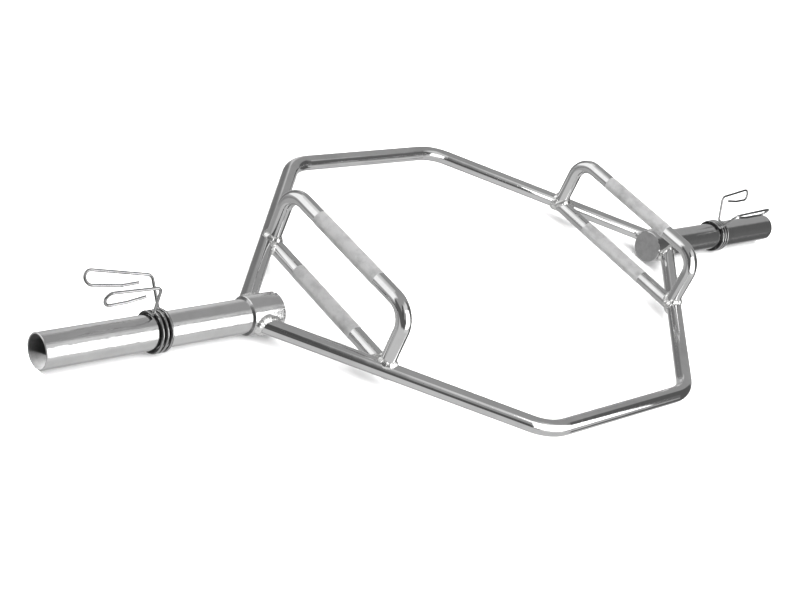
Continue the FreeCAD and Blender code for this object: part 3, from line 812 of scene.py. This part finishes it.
class TRAPBAR_OT_set_stage(bpy.types.Operator):
    """Set the floor, the lights, the surroundings and the camera"""
    bl_idname = "trap_bar.set_stage"
    bl_label = "Set Stage"

    def execute(self, context):
        stage = context.scene.trap_bar_stage
        self.lay_floor(stage)
        self.light_world(context.scene)
        self.hang_lights()
        self.place_camera(context.scene, stage)
        context.scene.view_settings.view_transform = "Standard"
        return {"FINISHED"}

    def lay_floor(self, stage):
        """Square floor, a hair under the coils that the bar stands on."""
        drop = 0.0003
        bm = bmesh.new()
        bmesh.ops.create_grid(bm, x_segments=4, y_segments=4, size=stage.floor_size / 2)
        bmesh.ops.translate(bm, verts=bm.verts[:], vec=(0, 0, -drop))
        mesh = bpy.data.meshes.new("studio_floor")
        bm.to_mesh(mesh)
        bm.free()
        mesh.materials.append(kept_finish("pale_floor", floor_finish, stage))
        floor = bpy.data.objects.new("studio_floor", mesh)
        bpy.context.scene.collection.objects.link(floor)

    def light_world(self, scene):
        """Soft panels all around for the steel to mirror, plain white to the camera."""
        world = bpy.data.worlds.new("soft_studio")
        world.use_nodes = True
        tree = world.node_tree
        heading = add_node(tree, "ShaderNodeTexCoord").outputs["Generated"]
        height = add_node(tree, "ShaderNodeMapRange")
        height.inputs["From Min"].default_value = -1
        tree.links.new(split_node(tree, heading)["Z"], height.inputs["Value"])
        sky = ramp_node(tree, height.outputs["Result"], [(0.0, 0.5), (0.45, 0.5), (0.5, 0.38), (1.0, 0.40)])
        for panel in PANELS.values():
            node = add_node(tree, "ShaderNodeGroup", node_tree=effect_group("Soft Panel", soft_panel))
            tree.links.new(heading, node.inputs["Heading"])
            turn = math.radians(panel.azimuth)
            node.inputs["Aim"].default_value = (math.cos(turn), math.sin(turn), 0)
            node.inputs["Half Width"].default_value = math.radians(panel.half_width)
            node.inputs["Low"].default_value = math.radians(panel.low)
            node.inputs["High"].default_value = math.radians(panel.high)
            node.inputs["Softness"].default_value = math.radians(panel.softness)
            sky = mix_node(tree, "RGBA", node.outputs["Mask"], sky, (panel.grey, panel.grey, panel.grey, 1))
        path = add_node(tree, "ShaderNodeLightPath")
        seen = mix_node(tree, "RGBA", path.outputs["Is Camera Ray"], sky, (1, 1, 1, 1))
        tree.links.new(seen, tree.nodes["Background"].inputs["Color"])
        scene.world = world

    def hang_lights(self):
        """Broad light from above, a soft box in front and a narrow light into the left sleeve."""
        sun = bpy.data.lights.new("overhead_light", "SUN")
        sun.angle = math.radians(100)
        sun.energy = 7.5
        self.aim_light(sun, Vector((0.1, -0.2, 1.0)), Vector())
        box = bpy.data.lights.new("front_soft_box", "AREA")
        box.shape = "RECTANGLE"
        box.size = 1.03
        box.size_y = 0.95
        box.energy = 7.26
        box_middle = Vector((0.105, -0.8, 0.495))
        self.aim_light(box, box_middle, Vector((box_middle.x, 0, box_middle.z)), mirrored=True)
        spot = bpy.data.lights.new("sleeve_light", "SPOT")
        spot.spot_size = math.radians(2.8)
        spot.spot_blend = 0.3
        spot.shadow_soft_size = 0.03
        spot.energy = 4500
        sleeve_mouth = Vector((-SLEEVE_HIGH.x, 0, AXIS_HEIGHT))
        self.aim_light(spot, Vector((-1.9, 0.55, 0.85)), sleeve_mouth)

    def aim_light(self, light, place, aim, mirrored=False):
        """Hang a light, unseen by the camera, and by the steel unless it is mirrored."""
        lamp = bpy.data.objects.new(light.name, light)
        lamp.location = place
        lamp.rotation_euler = (place - aim).to_track_quat("Z", "Y").to_euler()
        lamp.visible_glossy = mirrored
        lamp.visible_camera = False
        bpy.context.scene.collection.objects.link(lamp)

    def place_camera(self, scene, stage):
        """Camera at the photograph's viewing angle."""
        lens = bpy.data.cameras.new("photo_camera")
        lens.lens = stage.lens
        lens.sensor_width = 36
        lens.sensor_fit = "HORIZONTAL"
        lens.clip_end = 50
        camera = bpy.data.objects.new("photo_camera", lens)
        camera.location = stage.eye
        camera.rotation_euler = Euler(stage.turn)
        scene.collection.objects.link(camera)
        scene.camera = camera


class TRAPBAR_PT_looks(bpy.types.Panel):
    """Steps that dress the trap bar"""
    bl_idname = "TRAPBAR_PT_looks"
    bl_label = "Hex Trap Bar"
    bl_space_type = "VIEW_3D"
    bl_region_type = "UI"
    bl_category = "Trap Bar"

    def draw(self, context):
        for step in STEPS:
            self.layout.operator(step.bl_idname)
        for name, group in PROPERTIES.items():
            box = self.layout.box()
            box.label(text=group.__doc__)
            for field in group.__annotations__:
                box.prop(getattr(context.scene, name), field)


STEPS = (
    TRAPBAR_OT_finish_steel,
    TRAPBAR_OT_knurl_grips,
    TRAPBAR_OT_lay_welds,
    TRAPBAR_OT_wind_coils,
    TRAPBAR_OT_set_stage,
)
CLASSES = (*PROPERTIES.values(), *STEPS, TRAPBAR_PT_looks)


def register():
    """Register the classes and hang the property groups on the scene."""
    for item in CLASSES:
        bpy.utils.register_class(item)
    for name, group in PROPERTIES.items():
        setattr(bpy.types.Scene, name, PointerProperty(type=group))


def unregister():
    """Undo register."""
    for name in PROPERTIES:
        delattr(bpy.types.Scene, name)
    for item in reversed(CLASSES):
        bpy.utils.unregister_class(item)


def main():
    """Dress the bar and set the stage."""
    register()
    bpy.ops.trap_bar.finish_steel()
    bpy.ops.trap_bar.knurl_grips()
    bpy.ops.trap_bar.lay_welds()
    bpy.ops.trap_bar.wind_coils()
    bpy.ops.trap_bar.set_stage()


if __name__ == "__main__":
    main()
